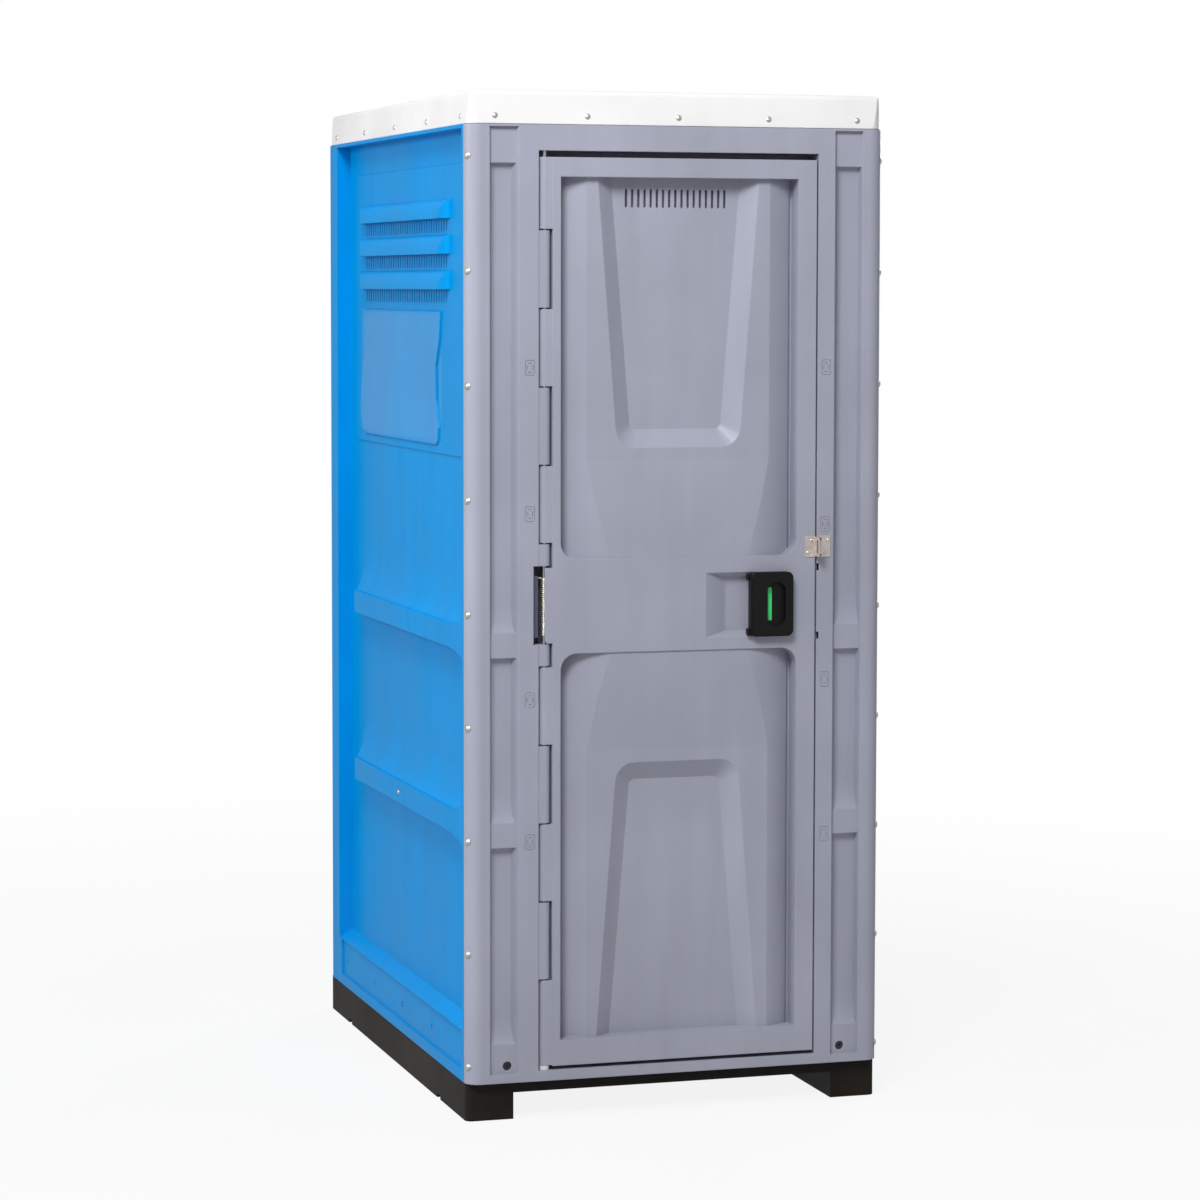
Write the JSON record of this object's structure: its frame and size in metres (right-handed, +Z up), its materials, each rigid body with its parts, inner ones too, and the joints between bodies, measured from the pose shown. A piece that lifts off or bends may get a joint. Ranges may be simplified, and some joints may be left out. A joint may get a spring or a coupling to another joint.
{
  "type": "portable shower cabin",
  "caption": "Free-standing moulded shower cabin on two skids, with a self-closing hinged door, an occupancy bolt, louvred side walls, and a mixer with an overhead shower inside.",
  "frame": {"origin": "centre of the footprint at the ground", "axes": "+Z up, the door faces -Y, and the door's hinge is on the -X side"},
  "size_m": [0.9858, 1.44, 2.3],
  "materials": {
    "base_plastic": "moulded, matt black-brown",
    "tray_plastic": "satin, off white",
    "wall_plastic": "moulded, satin sky blue",
    "frame_plastic": "moulded, satin lilac grey",
    "door_plastic": "moulded, satin lilac grey",
    "roof_plastic": "moulded, satin white",
    "rivet_metal": "dull aluminium",
    "plated_steel": "zinc plated",
    "stainless": "satin stainless",
    "hasp_metal": "nickel plated",
    "coated_screw": "blue plastic fasteners",
    "spring_steel": "yellow passivated wire",
    "bracket_metal": "dark slate paint",
    "black_plastic": "moulded, fine matt texture",
    "green_plastic": "green indicator",
    "red_plastic": "red indicator and hot ring",
    "blue_plastic": "blue cold ring",
    "seal_rubber": "black rubber",
    "nozzle_rubber": "grey silicone",
    "waste_plastic": "grey pipe",
    "chrome_metal": "polished chrome plate",
    "inlet_brass": "bare brass"
  },
  "bodies": {
    "cabin": {"base_pallet": "base_plastic", "shower_tray": "tray_plastic", "left_wall": "wall_plastic", "right_wall": "wall_plastic", "back_wall": "wall_plastic", "front_frame": "frame_plastic", "jamb_clips": "frame_plastic", "roof_cap": "roof_plastic", "roof_rivets": "rivet_metal", "corner_rivets": "rivet_metal", "back_rivets": "rivet_metal", "ledge_rivets": "rivet_metal", "hasp_frame_rivets": "rivet_metal", "anchor_brackets": "plated_steel", "frame_bolts": "plated_steel", "deck_bolts": "plated_steel", "hinge_rod": "stainless", "strike_plate": "stainless", "soap_shelf": "stainless", "hook_rail": "stainless", "drain_grate": "stainless", "hasp_frame": "hasp_metal", "skirt_screws": "coated_screw", "door_spring": "spring_steel", "spring_bracket": "bracket_metal", "hinge_bush": "black_plastic", "hot_ring": "red_plastic", "cold_ring": "blue_plastic", "door_seal": "seal_rubber", "waste_pipe": "waste_plastic", "drain_body": "waste_plastic", "mixer_body": "chrome_metal", "wall_flanges": "chrome_metal", "riser_pipe": "chrome_metal", "pipe_clips": "chrome_metal", "shower_arm": "chrome_metal", "inlet_pipes": "inlet_brass"},
    "door": {"door_outer_skin": "door_plastic", "door_inner_skin": "door_plastic", "door_screws": "plated_steel", "lock_body": "black_plastic", "lock_guide": "plated_steel", "lock_inner_plate": "black_plastic", "lock_screws": "plated_steel", "hasp_door": "hasp_metal", "hasp_door_rivets": "rivet_metal", "inner_pull": "black_plastic"},
    "latch": {"latch_bolt": "stainless", "indicator_green": "green_plastic", "indicator_red": "red_plastic", "latch_knob": "black_plastic"},
    "flow_control": {"flow_knob": "chrome_metal"},
    "temperature_control": {"temp_knob": "chrome_metal"},
    "head_swivel": {"shower_head": "chrome_metal", "spray_nozzles": "nozzle_rubber"}
  },
  "joints": [
    {"name": "door_hinge", "type": "hinge", "parent": "cabin", "child": "door", "pos_m": [-0.31, -0.676, 1.134], "axis": [0, 0, -1], "range_deg": [0, 95], "stiffness_Nm_per_rad": 2, "springref_deg": -20.05},
    {"name": "latch_slide", "type": "slide", "parent": "door", "child": "latch", "axis": [1, 0, 0], "range_m": [0, 0.016]},
    {"name": "flow_turn", "type": "hinge", "parent": "cabin", "child": "flow_control", "pos_m": [-0.128, 0.6, 0.975], "axis": [1, 0, 0], "range_deg": [0, 90]},
    {"name": "temperature_turn", "type": "hinge", "parent": "cabin", "child": "temperature_control", "pos_m": [0.128, 0.6, 0.975], "axis": [1, 0, 0], "range_deg": [-60, 60]},
    {"name": "head_tilt", "type": "hinge", "parent": "cabin", "child": "head_swivel", "pos_m": [0, 0.3, 1.978], "axis": [1, 0, 0], "range_deg": [-20, 20]}
  ]
}
